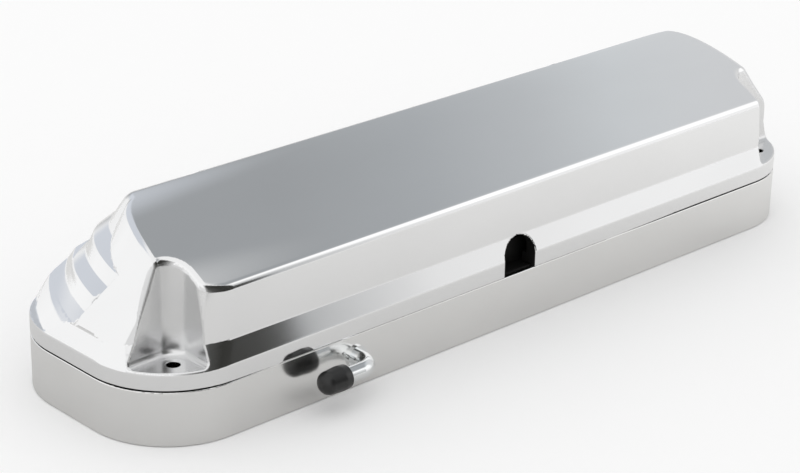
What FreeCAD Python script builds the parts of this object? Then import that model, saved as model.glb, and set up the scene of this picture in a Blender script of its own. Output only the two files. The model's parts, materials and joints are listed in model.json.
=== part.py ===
import FreeCAD, Part
import math
import os

os.makedirs("parts", exist_ok=True)

V = FreeCAD.Vector
UP = V(0, 0, 1)

# Engine valve cover in millimetres. +X runs along the head rail, +Z points up
# from the cylinder head, and -Y is the long side with the wire notch.
# The origin is the centre of the head rail, on the head face.

# Head rail outline, shared by the base and the cover above it
LENGTH = 440.0
WIDTH = 118.0
CORNER_R = 42.0
BASE_H = 26.0
RAIL_H = 8.0
FACET_H = 10.65
FACET_INSET = 3.0
RAIL_TOP = BASE_H + RAIL_H
FACET_TOP = RAIL_TOP + FACET_H

# Cover section: wall, rounded shoulder and crowned top
WALL_H = 24.65
WALL_DRAFT = 0.6
CROWN_RISE = 16.7
SHOULDER_R = 10.0
WALL_HALF_LOW = WIDTH / 2 - FACET_INSET
WALL_HALF_TOP = WALL_HALF_LOW - WALL_DRAFT
SHOULDER_Z = FACET_TOP + WALL_H
CROWN_TOP = SHOULDER_Z + CROWN_RISE
COVER_WALL = 3.2
COVER_RAIL_W = 9.0
COVER_RAIL_T = 5.5
COVER_RAIL_INNER_TOP = BASE_H + COVER_RAIL_T

# Reach of the cutting volumes beyond the part
SPAN = 2 * LENGTH
ABOVE = CROWN_TOP + WIDTH / 2

# Left end: a sloped face, a rounded cone above it and the stepped corner.
# Profiles are (radius, height above the parting plane, corner radius).
SLOPE_FOOT = 2.7
SLOPE_RUN = 0.5
LEFT_CORNER_R = 44.0
LEFT_CORNER_FALL = 0.487
CONE_FROM_END = 102.5
CONE_FROM_SIDE = 21.0
CONE_AXIS = (-LENGTH / 2 + CONE_FROM_END, -WIDTH / 2 + CONE_FROM_SIDE)
CONE_PROFILE = (
    (71.7, 74.0, 0.0), (79.7, 58.0, 0.0), (87.25, 43.0, 20.0), (100.3, 27.0, 12.0),
    (109.0, 17.0, 0.0))
STEP_FROM_END = 142.5
STEP_FROM_SIDE = 19.9
STEP_AXIS = (-LENGTH / 2 + STEP_FROM_END, -WIDTH / 2 + STEP_FROM_SIDE)
STEP_PROFILE = (
    (107.0, 62.9, 0.0), (119.4, 45.7, 3.0), (127.0, 41.4, 2.2), (130.2, 34.9, 2.2),
    (136.6, 31.2, 2.2), (139.7, 24.3, 3.0), (148.0, 16.2, 9.0), (154.0, 8.5, 9.0),
    (156.4, 0.0, 0.0))
STEP_TOP_FALL = 0.57
CHEEK_A_IN = 19.0
CHEEK_A_Y = -13.0
CHEEK_B_IN = 8.0
CHEEK_B_Y = -4.5
CHEEK_A = (-LENGTH / 2 + CHEEK_A_IN, CHEEK_A_Y)
CHEEK_B = (-LENGTH / 2 + CHEEK_B_IN, CHEEK_B_Y)

# Right end: a slanted face and a steep drafted face. Each point is given as
# (distance from the end, distance from the front side, height above the parting plane).
RIGHT_POINTS = ((26.4, 23.0, 53.3), (10.0, 90.0, 55.0), (2.7, 3.0, 18.65))
RIGHT_STEEP_IN = 3.0
RIGHT_STEEP_RUN = 0.17

# Cover bolts: two in the front corner pockets, two behind the crown
BOLT_R = 3.2
FRONT_BOLT_FROM_END = 22.8
FRONT_BOLT_FROM_SIDE = 15.3
BACK_BOLT_FROM_END = 100.0
BACK_BOLT_FROM_SIDE = 10.0
FRONT_X = LENGTH / 2 - FRONT_BOLT_FROM_END
FRONT_Y = -WIDTH / 2 + FRONT_BOLT_FROM_SIDE
BACK_X = LENGTH / 2 - BACK_BOLT_FROM_END
BACK_Y = WIDTH / 2 - BACK_BOLT_FROM_SIDE
FRONT_BOLTS = ((-FRONT_X, FRONT_Y), (FRONT_X, FRONT_Y))
BACK_BOLTS = ((-BACK_X, BACK_Y), (BACK_X, BACK_Y))
POCKET_FLOOR = RAIL_TOP + 1.0
POCKET_SIDE_LEFT = 9.3
POCKET_SIDE_RIGHT = 15.2
POCKET_BACK = 9.3
POCKET_CORNER_R = 9.0
POCKET_FOOT_R = 3.0
BACK_POCKET_R = 9.0
BACK_POCKET_R_TOP = 9.8

# Wire notch in the front wall of the cover
NOTCH_W = 20.7
NOTCH_H = 18.4
NOTCH_DEPTH = 15.0
NOTCH_TOP = BASE_H + NOTCH_H

# Reveal cut under the cover rail at both ends
REVEAL_H = 0.9
REVEAL_DEPTH = 2.2
REVEAL_LEFT_FULL = 28.0
REVEAL_LEFT_END = 70.0
REVEAL_RIGHT_FULL = 95.0
REVEAL_RIGHT_END = 160.0

# Base casting
BASE_RAIL_W = 10.0
BASE_FLANGE_T = 4.5
BASE_FLANGE_Z = BASE_H - BASE_FLANGE_T
BASE_EDGE_R = 0.5
DECK_INSET = 12.0
DECK_RISE = 12.0
DECK_TOP = BASE_H + DECK_RISE
DECK_WALL = 3.5
DECK_CLEAR = 3.0
COVER_BOSS_R = 8.5
COVER_BOSS_L = 18.0

# Head bolts on the centre line, with sleeve and grommet
HEAD_BOLT_PITCH = 111.76
HEAD_BOSS_R = 12.5
HEAD_BORE_R = 6.2
GROMMET_SEAT_R = 9.0
GROMMET_SEAT_DEPTH = 7.0
GROMMET_LIP_R = 11.5
GROMMET_LIP_H = 3.0
SLEEVE_R = 5.0
SLEEVE_BORE_R = 3.3

# Seal grooves as (outer inset, inner inset, depth)
PARTING_GROOVE = (2.6, 4.4, 1.5)
HEAD_GROOVE = (3.4, 7.4, 3.2)
SEAL_CLEAR = 0.1

# Thread inserts under the cover bolts
INSERT_R = 3.8
INSERT_TAP_R = 2.6
INSERT_L = 12.0

# Vent tube and its cap on the front wall
TUBE_FROM_END = 114.7
TUBE_DOWN = 10.9
TUBE_OUT = 11.7
TUBE_R = 3.95
TUBE_BORE_R = 3.0
TUBE_BEND_R = 8.2
TUBE_RUN = 25.7
TUBE_X = -LENGTH / 2 + TUBE_FROM_END
TUBE_Z = BASE_H - TUBE_DOWN
TUBE_END_X = TUBE_X - TUBE_RUN
COLLAR_R = 5.6
COLLAR_H = 1.2
CAP_GRIP = 9.2
CAP_LENGTH = 15.2
CAP_R = 5.9
CAP_OPEN_X = TUBE_END_X + CAP_GRIP

# Oil baffle under the deck and its screws
BAFFLE_T = 1.5
BAFFLE_DOWN = 3.0
BAFFLE_Z = BASE_H - BAFFLE_DOWN
BAFFLE_HALF_W = 36.0
BAFFLE_LENGTH = 96.0
BAFFLE_CORNER_R = 6.0
BAFFLE_BOSS_CLEAR = 1.5
BAFFLE_POST_R = 5.0
BAFFLE_POST_X = 38.0
BAFFLE_POST_Y = 26.0
BAFFLE_SCREW_R = 2.0
BAFFLE_HOLE_R = 2.3
BAFFLE_HEAD_R = 4.2
BAFFLE_HEAD_H = 2.6
BAFFLE_SCREW_L = 8.0
BAFFLE_SOCKET_R = 1.5
BAFFLE_SOCKET_DEPTH = 1.4

# Coil studs standing on the deck, in pairs along the back half
COIL_PITCH = 83.0
COIL_STUD_PITCH = 52.0
STUD_Y = 22.0
STUD_HEX = 10.0
STUD_H = 16.0
STUD_TAP_R = 2.5
STUD_TAP_FLOOR = 3.0
STUD_SPIGOT_R = 3.0


def rect_wire(inset, z, left_r=0.0):
    """Rounded outline of the head rail, moved inwards by inset.

    A left_r above zero replaces the radius of the front left corner."""
    hx = LENGTH / 2 - inset
    hy = WIDTH / 2 - inset
    r = CORNER_R - inset
    k = r * math.sqrt(0.5)
    cx = hx - r
    cy = hy - r
    lr = left_r if left_r > 0.0 else r
    lk = lr * math.sqrt(0.5)
    lx = hx - lr
    ly = hy - lr
    edges = []
    edges.append(Part.LineSegment(V(-lx, -hy, z), V(cx, -hy, z)).toShape())
    edges.append(Part.Arc(V(cx, -hy, z), V(cx + k, -cy - k, z), V(hx, -cy, z)).toShape())
    edges.append(Part.LineSegment(V(hx, -cy, z), V(hx, cy, z)).toShape())
    edges.append(Part.Arc(V(hx, cy, z), V(cx + k, cy + k, z), V(cx, hy, z)).toShape())
    edges.append(Part.LineSegment(V(cx, hy, z), V(-cx, hy, z)).toShape())
    edges.append(Part.Arc(V(-cx, hy, z), V(-cx - k, cy + k, z), V(-hx, cy, z)).toShape())
    edges.append(Part.LineSegment(V(-hx, cy, z), V(-hx, -ly, z)).toShape())
    edges.append(Part.Arc(V(-hx, -ly, z), V(-lx - lk, -ly - lk, z), V(-lx, -hy, z)).toShape())
    return Part.Wire(edges)


def slab(inset, z0, z1):
    return Part.Face(rect_wire(inset, z0)).extrude(V(0, 0, z1 - z0))


def ring(inset_out, inset_in, z0, z1):
    return slab(inset_out, z0, z1).cut(slab(inset_in, z0 - 1, z1 + 1))


def cyl(x, y, r, z0, z1):
    return Part.makeCylinder(r, z1 - z0, V(x, y, z0))


def block(x0, x1, y0, y1, z0, z1):
    return Part.makeBox(x1 - x0, y1 - y0, z1 - z0, V(x0, y0, z0))


def rounded_edges(points):
    """Lines through (r, z, corner radius) points, with each corner rounded."""
    edges = []
    start = V(points[0][0], 0, points[0][1])
    for i in range(1, len(points)):
        corner = V(points[i][0], 0, points[i][1])
        radius = points[i][2]
        if i == len(points) - 1 or radius == 0.0:
            edges.append(Part.LineSegment(start, corner).toShape())
            start = corner
            continue
        before = V(points[i - 1][0], 0, points[i - 1][1]) - corner
        after = V(points[i + 1][0], 0, points[i + 1][1]) - corner
        before.normalize()
        after.normalize()
        half = before.getAngle(after) / 2
        reach = radius / math.tan(half)
        first = corner + before * reach
        last = corner + after * reach
        middle = before + after
        middle.normalize()
        centre = corner + middle * (radius / math.sin(half))
        apex = centre - middle * radius
        edges.append(Part.LineSegment(start, first).toShape())
        edges.append(Part.Arc(first, apex, last).toShape())
        start = last
    return edges


def turned(axis, edges, inner_bottom, inner_top):
    """Solid of revolution about a vertical axis under an outer profile."""
    a = V(0, 0, inner_bottom)
    b = V(0, 0, inner_top)
    first = edges[0].valueAt(edges[0].FirstParameter)
    last = edges[-1].valueAt(edges[-1].LastParameter)
    closing = [Part.LineSegment(last, a).toShape(),
               Part.LineSegment(a, b).toShape(),
               Part.LineSegment(b, first).toShape()]
    face = Part.Face(Part.Wire(edges + closing))
    solid = face.revolve(V(0, 0, 0), UP, 360)
    solid.translate(V(axis[0], axis[1], 0))
    return solid


def crown_prism(t):
    """Crowned section run along X, its walls moved inwards by t."""
    yb = WALL_HALF_LOW - t
    yt = WALL_HALF_TOP - t
    drop = CROWN_TOP - SHOULDER_Z
    radius = (WALL_HALF_TOP ** 2 + drop ** 2) / (2 * drop)
    centre_z = CROWN_TOP - radius
    r = radius - t
    zt = centre_z + math.sqrt(r ** 2 - yt ** 2)
    x0 = -LENGTH / 2
    z0 = BASE_H
    low = FACET_TOP
    a = V(x0, -yb, z0)
    b = V(x0, -yb, low)
    c = V(x0, -yt, zt)
    top = V(x0, 0, centre_z + r)
    d = V(x0, yt, zt)
    e = V(x0, yb, low)
    f = V(x0, yb, z0)
    wire = Part.Wire([
        Part.LineSegment(a, b).toShape(), Part.LineSegment(b, c).toShape(),
        Part.Arc(c, top, d).toShape(), Part.LineSegment(d, e).toShape(),
        Part.LineSegment(e, f).toShape(), Part.LineSegment(f, a).toShape()])
    solid = Part.Face(wire).extrude(V(LENGTH, 0, 0))
    shoulders = []
    for edge in solid.Edges:
        p = edge.CenterOfMass
        if abs(abs(p.y) - yt) < 0.01 and abs(p.z - zt) < 0.01 and edge.Length > LENGTH / 2:
            shoulders.append(edge)
    return solid.makeFillet(SHOULDER_R - t, shoulders)


def lifted(profile, t):
    """Profile moved inwards by t, with its heights counted from the parting plane."""
    return [(r - t, BASE_H + h, c) for r, h, c in profile]


def behind_cheek():
    """Everything behind the upright plane that ends the steps."""
    along = V(CHEEK_B[0] - CHEEK_A[0], CHEEK_B[1] - CHEEK_A[1], 0)
    along.normalize()
    outer = V(CHEEK_A[0], CHEEK_A[1], 0) + along * LENGTH
    inner = V(CHEEK_A[0], CHEEK_A[1], 0) - along * LENGTH
    points = [outer, inner, V(inner.x, SPAN, 0), V(outer.x, SPAN, 0), outer]
    return Part.Face(Part.makePolygon(points)).extrude(V(0, 0, ABOVE))


def leaning_block(foot_x, run, far_x, top):
    """Block from a leaning end face, through foot_x at the facet top, to far_x."""
    low = BASE_H
    a = V(foot_x + run * (low - FACET_TOP), -WIDTH, low)
    b = V(foot_x + run * (top - FACET_TOP), -WIDTH, top)
    c = V(far_x, -WIDTH, top)
    d = V(far_x, -WIDTH, low)
    return Part.Face(Part.makePolygon([a, b, c, d, a])).extrude(V(0, 2 * WIDTH, 0))


def left_corner_wire(t, z):
    """Level outline of the front left corner, its end and wall moved inwards by t."""
    rise = z - FACET_TOP
    x = -LENGTH / 2 + SLOPE_FOOT + SLOPE_RUN * rise + t * math.hypot(1, SLOPE_RUN)
    y = -WALL_HALF_LOW + WALL_DRAFT / WALL_H * rise + t
    r = LEFT_CORNER_R - LEFT_CORNER_FALL * rise - t
    k = r * (1 - math.sqrt(0.5))
    far = CONE_AXIS[0]
    points = [V(x + r, y, z), V(far, y, z), V(far, WIDTH, z), V(x, WIDTH, z), V(x, y + r, z)]
    edges = [Part.LineSegment(points[i], points[i + 1]).toShape() for i in range(4)]
    edges.append(Part.Arc(points[4], V(x + k, y + k, z), points[0]).toShape())
    return Part.Wire(edges)


def left_corner(t):
    """Volume that rounds and leans the front left corner."""
    low = Part.Face(left_corner_wire(t, FACET_TOP)).extrude(V(0, 0, BASE_H - FACET_TOP))
    high = Part.makeLoft([left_corner_wire(t, FACET_TOP), left_corner_wire(t, ABOVE - WIDTH / 2)],
                         True, True)
    return low.fuse(high)


def stepped_corner(t):
    """Turned volume with the steps of the left end, moved inwards by t."""
    steps = lifted(STEP_PROFILE, t)
    return turned(STEP_AXIS, rounded_edges(steps), BASE_H, steps[0][1])


def left_limit(t):
    """Volume that bounds the left end of the cover, moved inwards by t."""
    points = lifted(CONE_PROFILE, t)
    high = points[0][1]
    points.append((points[-1][0], BASE_H, 0.0))
    foot = -LENGTH / 2 + SLOPE_FOOT + t * math.hypot(1, SLOPE_RUN)
    slope = leaning_block(foot, SLOPE_RUN, 0, high)
    cone = turned(CONE_AXIS, rounded_edges(points), BASE_H, high)
    side = block(-LENGTH, CONE_AXIS[0], -WIDTH, CONE_AXIS[1], BASE_H, high)
    smooth = cone.fuse(side).common(slope).common(left_corner(t))
    step_r, step_h, _ = STEP_PROFILE[1]
    step_r = step_r - t
    peak = BASE_H + step_h + STEP_TOP_FALL * step_r
    under = Part.makeCone(peak / STEP_TOP_FALL, 0, peak, V(STEP_AXIS[0], STEP_AXIS[1], 0))
    smooth = smooth.cut(behind_cheek().common(under))
    return smooth.fuse(stepped_corner(t).common(behind_cheek()))


def right_limit(t):
    """Volume that bounds the right end of the cover, moved inwards by t."""
    corners = [V(LENGTH / 2 - dx, -WIDTH / 2 + dy, BASE_H + h) for dx, dy, h in RIGHT_POINTS]
    normal = (corners[1] - corners[0]).cross(corners[2] - corners[0])
    normal.normalize()
    if normal.x < 0:
        normal = normal * -1
    plane = Part.Plane(corners[0] - normal * t, normal)
    keep = plane.toShape(-LENGTH, LENGTH, -LENGTH, LENGTH).extrude(normal * -SPAN)
    steep = leaning_block(-LENGTH / 2 + RIGHT_STEEP_IN + t, RIGHT_STEEP_RUN, 0, ABOVE)
    return steep.mirror(V(0, 0, 0), V(1, 0, 0)).common(keep)


def cover_mass(t):
    """Crowned body of the cover with both ends shaped, moved inwards by t."""
    body = crown_prism(t).common(slab(FACET_INSET + t, BASE_H, ABOVE))
    left = body.common(left_limit(t)).common(block(-LENGTH, 0, -WIDTH, WIDTH, 0, ABOVE))
    middle = body.common(block(CONE_AXIS[0], 0, -WIDTH, WIDTH, 0, ABOVE))
    right = body.common(right_limit(t))
    return left.fuse([middle, right]).removeSplitter()


def rail_and_facet():
    """Vertical rail with the steep facet above it, round the whole outline."""
    low = slab(0, BASE_H, RAIL_TOP)
    facet = Part.makeLoft([rect_wire(0, RAIL_TOP), rect_wire(FACET_INSET, FACET_TOP, LEFT_CORNER_R)],
                          True, True)
    corner = block(-LENGTH, CONE_AXIS[0], -WIDTH, WIDTH, BASE_H, FACET_TOP)
    shave = corner.common(behind_cheek()).cut(stepped_corner(0.0))
    return low.fuse(facet).removeSplitter().cut(shave)


def corner_pocket(side, grow, floor):
    """Front pocket tool: two walls and a rounded corner, open to the front corner."""
    reach = POCKET_SIDE_LEFT if side < 0 else POCKET_SIDE_RIGHT
    x_wall = FRONT_X - reach - grow
    y_wall = FRONT_Y + POCKET_BACK + grow
    tool = block(x_wall, LENGTH, -WIDTH, y_wall, floor, ABOVE)
    upright = [e for e in tool.Edges if abs(e.CenterOfMass.x - x_wall) < 0.01
               and abs(e.CenterOfMass.y - y_wall) < 0.01]
    tool = tool.makeFillet(POCKET_CORNER_R + grow, upright)
    if grow == 0:
        foot = [e for e in tool.Edges if abs(e.CenterOfMass.z - floor) < 0.01
                and e.CenterOfMass.x < LENGTH - 1 and e.CenterOfMass.y > -WIDTH + 1]
        tool = tool.makeFillet(POCKET_FOOT_R, foot)
    if side < 0:
        tool = tool.mirror(V(0, 0, 0), V(1, 0, 0))
    return tool


def back_pocket(x, grow, floor):
    """Round drafted pocket tool behind the crown."""
    r = BACK_POCKET_R + grow
    r_top = BACK_POCKET_R_TOP + grow
    if grow > 0:
        return Part.makeCone(r, r_top, ABOVE - floor, V(x, BACK_Y, floor))
    edges = rounded_edges([(0.0, floor, 0.0), (r, floor, POCKET_FOOT_R), (r_top, ABOVE, 0.0)])
    closing = [Part.LineSegment(V(r_top, 0, ABOVE), V(0, 0, ABOVE)).toShape(),
               Part.LineSegment(V(0, 0, ABOVE), V(0, 0, floor)).toShape()]
    solid = Part.Face(Part.Wire(edges + closing)).revolve(V(0, 0, 0), UP, 360)
    solid.translate(V(x, BACK_Y, 0))
    return solid


def pocket_rooms(grow, floor):
    """Tools for all four pockets of the cover, grown by grow."""
    rooms = [corner_pocket(side, grow, floor) for side in (-1, 1)]
    return rooms + [back_pocket(x, grow, floor) for x, _ in BACK_BOLTS]


def notch_tool():
    """Arched slot through the front rail and wall, open at the bottom."""
    r = NOTCH_W / 2
    z_arc = NOTCH_TOP - r
    y0 = -WIDTH / 2 - r
    a = V(-r, y0, 0)
    b = V(-r, y0, z_arc)
    top = V(0, y0, NOTCH_TOP)
    c = V(r, y0, z_arc)
    d = V(r, y0, 0)
    wire = Part.Wire([
        Part.LineSegment(a, b).toShape(), Part.Arc(b, top, c).toShape(),
        Part.LineSegment(c, d).toShape(), Part.LineSegment(d, a).toShape()])
    return Part.Face(wire).extrude(V(0, r + NOTCH_DEPTH, 0))


def reveal_tool():
    """Wedges that open a dark line under the rail at both ends."""
    x = LENGTH / 2
    low = BASE_H
    high = BASE_H + REVEAL_H
    left = [V(-LENGTH, -WIDTH, low), V(-LENGTH, -WIDTH, high),
            V(-x + REVEAL_LEFT_FULL, -WIDTH, high), V(-x + REVEAL_LEFT_END, -WIDTH, low),
            V(-LENGTH, -WIDTH, low)]
    right = [V(LENGTH, -WIDTH, low), V(x - REVEAL_RIGHT_END, -WIDTH, low),
             V(x - REVEAL_RIGHT_FULL, -WIDTH, high), V(LENGTH, -WIDTH, high),
             V(LENGTH, -WIDTH, low)]
    band = ring(-REVEAL_DEPTH, REVEAL_DEPTH, low, RAIL_TOP)
    cuts = []
    for points in (left, right):
        wedge = Part.Face(Part.makePolygon(points)).extrude(V(0, 2 * WIDTH, 0))
        cuts.append(wedge.common(band))
    return cuts[0].fuse(cuts[1])


def make_cover():
    body = rail_and_facet().fuse(cover_mass(0.0)).removeSplitter()
    inner = cover_mass(COVER_WALL).cut(slab(0, 0, COVER_RAIL_INNER_TOP))
    inner = inner.fuse(slab(COVER_RAIL_W, 0, COVER_RAIL_INNER_TOP + 1))
    inner = inner.cut(pocket_rooms(COVER_WALL, 0))
    body = body.cut(pocket_rooms(0, POCKET_FLOOR)).cut(inner)
    for x, y in FRONT_BOLTS + BACK_BOLTS:
        body = body.cut(cyl(x, y, BOLT_R, 0, ABOVE))
    return body.cut(notch_tool()).cut(reveal_tool())


def head_bolt_xs():
    p = HEAD_BOLT_PITCH
    return (-1.5 * p, -0.5 * p, 0.5 * p, 1.5 * p)


def coil_stud_xs():
    xs = []
    for i in (-1.5, -0.5, 0.5, 1.5):
        xs.append(i * COIL_PITCH - COIL_STUD_PITCH / 2)
        xs.append(i * COIL_PITCH + COIL_STUD_PITCH / 2)
    return xs


def baffle_posts():
    return [(x * BAFFLE_POST_X, y * BAFFLE_POST_Y) for x in (-1, 1) for y in (-1, 1)]


def make_base():
    rail = slab(0, 0, BASE_H)
    rims = [e for e in rail.Edges if abs(e.tangentAt(e.FirstParameter).z) < 0.1]
    body = rail.makeFillet(BASE_EDGE_R, rims).fuse(slab(DECK_INSET, RAIL_H, DECK_TOP))
    body = body.cut(pocket_rooms(COVER_WALL + DECK_CLEAR, BASE_H))
    upper = slab(DECK_INSET + DECK_WALL, BASE_FLANGE_Z - 1, DECK_TOP - DECK_WALL)
    upper = upper.cut(pocket_rooms(COVER_WALL + DECK_CLEAR + DECK_WALL, 0))
    hollow = slab(BASE_RAIL_W, -1, BASE_FLANGE_Z).fuse(upper)
    for x, y in FRONT_BOLTS + BACK_BOLTS:
        hollow = hollow.cut(cyl(x, y, COVER_BOSS_R, BASE_H - COVER_BOSS_L, BASE_H))
    for x in head_bolt_xs():
        hollow = hollow.cut(cyl(x, 0, HEAD_BOSS_R, 0, DECK_TOP))
    for x, y in baffle_posts():
        hollow = hollow.cut(cyl(x, y, BAFFLE_POST_R, BAFFLE_Z, DECK_TOP))
    body = body.cut(hollow)
    for x in head_bolt_xs():
        body = body.cut(cyl(x, 0, HEAD_BORE_R, -1, ABOVE))
        body = body.cut(cyl(x, 0, GROMMET_SEAT_R, DECK_TOP - GROMMET_SEAT_DEPTH, ABOVE))
    for x, y in FRONT_BOLTS + BACK_BOLTS:
        body = body.cut(cyl(x, y, INSERT_R, BASE_H - INSERT_L - 1, ABOVE))
    for x, y in baffle_posts():
        depth = BAFFLE_SCREW_L - BAFFLE_T + 1
        body = body.cut(cyl(x, y, BAFFLE_SCREW_R, BAFFLE_Z - 1, BAFFLE_Z + depth))
    for x in coil_stud_xs():
        body = body.cut(cyl(x, STUD_Y, STUD_SPIGOT_R, BASE_H, ABOVE))
    body = body.cut(ring(HEAD_GROOVE[0], HEAD_GROOVE[1], -1, HEAD_GROOVE[2]))
    body = body.cut(ring(PARTING_GROOVE[0], PARTING_GROOVE[1], BASE_H - PARTING_GROOVE[2],
                         BASE_H + 1))
    start = V(TUBE_X, -WIDTH, TUBE_Z)
    return body.cut(Part.makeCylinder(TUBE_R, WIDTH, start, V(0, 1, 0)))


def make_parting_seal():
    out, inn, depth = PARTING_GROOVE
    return ring(out + SEAL_CLEAR, inn - SEAL_CLEAR, BASE_H - depth, BASE_H)


def make_head_gasket():
    out, inn, depth = HEAD_GROOVE
    return ring(out + SEAL_CLEAR, inn - SEAL_CLEAR, 0, depth)


def make_tube():
    """Bent tube: straight through the wall, one elbow, straight to the end."""
    y_wall = -WIDTH / 2
    y_run = y_wall - TUBE_OUT
    start = V(TUBE_X, y_wall + BASE_RAIL_W, TUBE_Z)
    bend_a = V(TUBE_X, y_run + TUBE_BEND_R, TUBE_Z)
    pivot = V(TUBE_X - TUBE_BEND_R, y_run + TUBE_BEND_R, TUBE_Z)
    bend_b = V(TUBE_X - TUBE_BEND_R, y_run, TUBE_Z)
    end = V(TUBE_END_X, y_run, TUBE_Z)
    solids = []
    for radius in (TUBE_R, TUBE_BORE_R):
        first = Part.makeCylinder(radius, (bend_a - start).Length, start, V(0, -1, 0))
        disc = Part.Face(Part.Wire(Part.makeCircle(radius, bend_a, V(0, 1, 0))))
        elbow = disc.revolve(pivot, V(0, 0, -1), 90)
        last = Part.makeCylinder(radius, (end - bend_b).Length, bend_b, V(-1, 0, 0))
        solids.append(first.fuse([elbow, last]).removeSplitter())
    return solids[0].cut(solids[1])


def make_collar():
    y_wall = -WIDTH / 2
    out = Part.makeCylinder(COLLAR_R, COLLAR_H, V(TUBE_X, y_wall, TUBE_Z), V(0, -1, 0))
    hole = Part.makeCylinder(TUBE_R, COLLAR_H + 2, V(TUBE_X, y_wall + 1, TUBE_Z), V(0, -1, 0))
    return out.cut(hole)


def make_cap():
    """Rubber cap: open sleeve over the tube, closed and domed at its tip."""
    y_run = -WIDTH / 2 - TUBE_OUT
    length = CAP_LENGTH
    edges = rounded_edges([(0.0, length, 0.0), (CAP_R - 0.7, length, 4.6),
                           (CAP_R, 4.0, 6.0), (CAP_R - 0.4, 0.0, 0.8), (TUBE_R, 0.0, 0.0)])
    bore_end = CAP_GRIP
    first = edges[0].valueAt(edges[0].FirstParameter)
    last = edges[-1].valueAt(edges[-1].LastParameter)
    a = V(TUBE_R, 0, bore_end)
    b = V(0, 0, bore_end)
    closing = [Part.LineSegment(last, a).toShape(), Part.LineSegment(a, b).toShape(),
               Part.LineSegment(b, first).toShape()]
    solid = Part.Face(Part.Wire(edges + closing)).revolve(V(0, 0, 0), UP, 360)
    solid.rotate(V(0, 0, 0), V(0, 1, 0), -90)
    solid.translate(V(CAP_OPEN_X, y_run, TUBE_Z))
    return solid


def make_sleeve(x):
    height = DECK_TOP + GROMMET_LIP_H
    return cyl(x, 0, SLEEVE_R, 0, height).cut(cyl(x, 0, SLEEVE_BORE_R, -1, height + 1))


def make_grommet(x):
    low = DECK_TOP - GROMMET_SEAT_DEPTH
    high = DECK_TOP + GROMMET_LIP_H
    body = cyl(x, 0, GROMMET_SEAT_R, low, DECK_TOP).fuse(
        cyl(x, 0, GROMMET_LIP_R, DECK_TOP, high)).removeSplitter()
    return body.cut(cyl(x, 0, SLEEVE_R, low - 1, high + 1))


def make_insert(x, y):
    low = BASE_H - INSERT_L
    return cyl(x, y, INSERT_R, low, BASE_H).cut(cyl(x, y, INSERT_TAP_R, low - 1, BASE_H + 1))


def hexagon(x, y, r, z):
    points = []
    for i in range(7):
        a = math.radians(60 * i)
        points.append(V(x + r * math.cos(a), y + r * math.sin(a), z))
    return Part.Face(Part.makePolygon(points))


def make_baffle():
    half = BAFFLE_LENGTH / 2
    plate = block(-half, half, -BAFFLE_HALF_W, BAFFLE_HALF_W, BAFFLE_Z - BAFFLE_T, BAFFLE_Z)
    plate = plate.makeFillet(BAFFLE_CORNER_R, [e for e in plate.Edges if abs(e.tangentAt(0).z) > 0.9])
    for x in (-0.5, 0.5):
        plate = plate.cut(cyl(x * HEAD_BOLT_PITCH, 0, HEAD_BOSS_R + BAFFLE_BOSS_CLEAR, 0, DECK_TOP))
    for x, y in baffle_posts():
        plate = plate.cut(cyl(x, y, BAFFLE_HOLE_R, 0, DECK_TOP))
    return plate


def make_baffle_screw(x, y):
    top = BAFFLE_Z - BAFFLE_T
    head = cyl(x, y, BAFFLE_HEAD_R, top - BAFFLE_HEAD_H, top)
    head = head.makeFillet(1.0, [e for e in head.Edges
                                 if abs(e.CenterOfMass.z - (top - BAFFLE_HEAD_H)) < 0.01
                                 and e.Length > 20])
    shank = cyl(x, y, BAFFLE_SCREW_R, top, top + BAFFLE_SCREW_L)
    screw = head.fuse(shank).removeSplitter()
    socket = hexagon(x, y, BAFFLE_SOCKET_R, top - BAFFLE_HEAD_H)
    return screw.cut(socket.extrude(V(0, 0, BAFFLE_SOCKET_DEPTH)))


def make_stud(x, y):
    r = STUD_HEX / 2 / math.cos(math.radians(30))
    body = hexagon(x, y, r, DECK_TOP).extrude(V(0, 0, STUD_H))
    body = body.fuse(cyl(x, y, STUD_SPIGOT_R, DECK_TOP - DECK_WALL, DECK_TOP))
    return body.cut(cyl(x, y, STUD_TAP_R, DECK_TOP + STUD_TAP_FLOOR, ABOVE))


def write(name, shapes):
    shape = shapes[0] if len(shapes) == 1 else Part.makeCompound(shapes)
    shape.exportStep("parts/" + name + ".step")


write("cover", [make_cover()])
write("base", [make_base()])
write("parting_seal", [make_parting_seal()])
write("head_gasket", [make_head_gasket()])
write("vent_tube", [make_tube()])
write("tube_collar", [make_collar()])
write("vent_cap", [make_cap()])
write("baffle_plate", [make_baffle()])
write("baffle_screws", [make_baffle_screw(x, y) for x, y in baffle_posts()])
write("coil_studs", [make_stud(x, STUD_Y) for x in coil_stud_xs()])
for number, x in enumerate(head_bolt_xs(), 1):
    write("bolt_sleeve_%d" % number, [make_sleeve(x)])
    write("bolt_grommet_%d" % number, [make_grommet(x)])
for number, (x, y) in enumerate(FRONT_BOLTS + BACK_BOLTS, 1):
    write("thread_insert_%d" % number, [make_insert(x, y)])
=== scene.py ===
import json
import math

import bmesh
import bpy
import numpy as np
from mathutils import Matrix, Vector


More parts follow.
